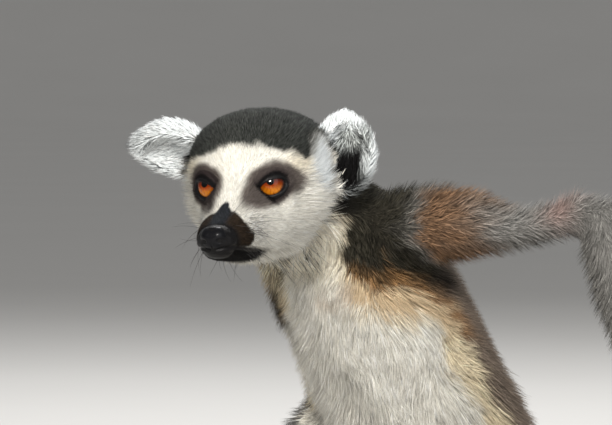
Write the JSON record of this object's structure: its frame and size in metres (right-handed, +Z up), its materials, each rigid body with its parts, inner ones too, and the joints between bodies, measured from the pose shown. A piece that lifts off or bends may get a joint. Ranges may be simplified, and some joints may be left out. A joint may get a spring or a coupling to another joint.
{
  "type": "ring-tailed lemur model",
  "caption": "Life-size museum model of a sitting ring-tailed lemur with its head thrust forward and its left arm spread over a raised knee.",
  "frame": {"origin": "Middle of the flat under the rump, on the floor.", "axes": "-Y is the way the trunk faces, +X is the animal's left, +Z is up."},
  "size_m": [0.4246, 0.7198, 0.2437],
  "materials": {
    "coat_brown": "short dense fur, rosy brown and grey above and white below",
    "coat_grey": "short woolly fur, grey",
    "coat_white": "soft fur, white with a dark cap and dark eye patches",
    "coat_tail": "bushy fur, black and white rings",
    "eye": "wet gloss, orange iris and black pupil",
    "bare_skin": "black bare skin, damp gloss"
  },
  "bodies": {
    "root": {"trunk": "coat_brown", "neck": "coat_grey", "head": "coat_white", "ear_left": "coat_white", "ear_right": "coat_white", "upper_arm_left": "coat_grey", "upper_arm_right": "coat_grey", "forearm_left": "coat_grey", "forearm_right": "coat_grey", "hand_left": "coat_grey", "hand_right": "coat_grey", "thigh_left": "coat_grey", "thigh_right": "coat_grey", "shank_left": "coat_grey", "shank_right": "coat_grey", "foot_left": "coat_grey", "foot_right": "coat_grey", "tail_1": "coat_tail", "tail_2": "coat_tail", "tail_3": "coat_tail", "tail_4": "coat_tail", "eye_left": "eye", "eye_right": "eye", "nose": "bare_skin"}
  },
  "joints": []
}
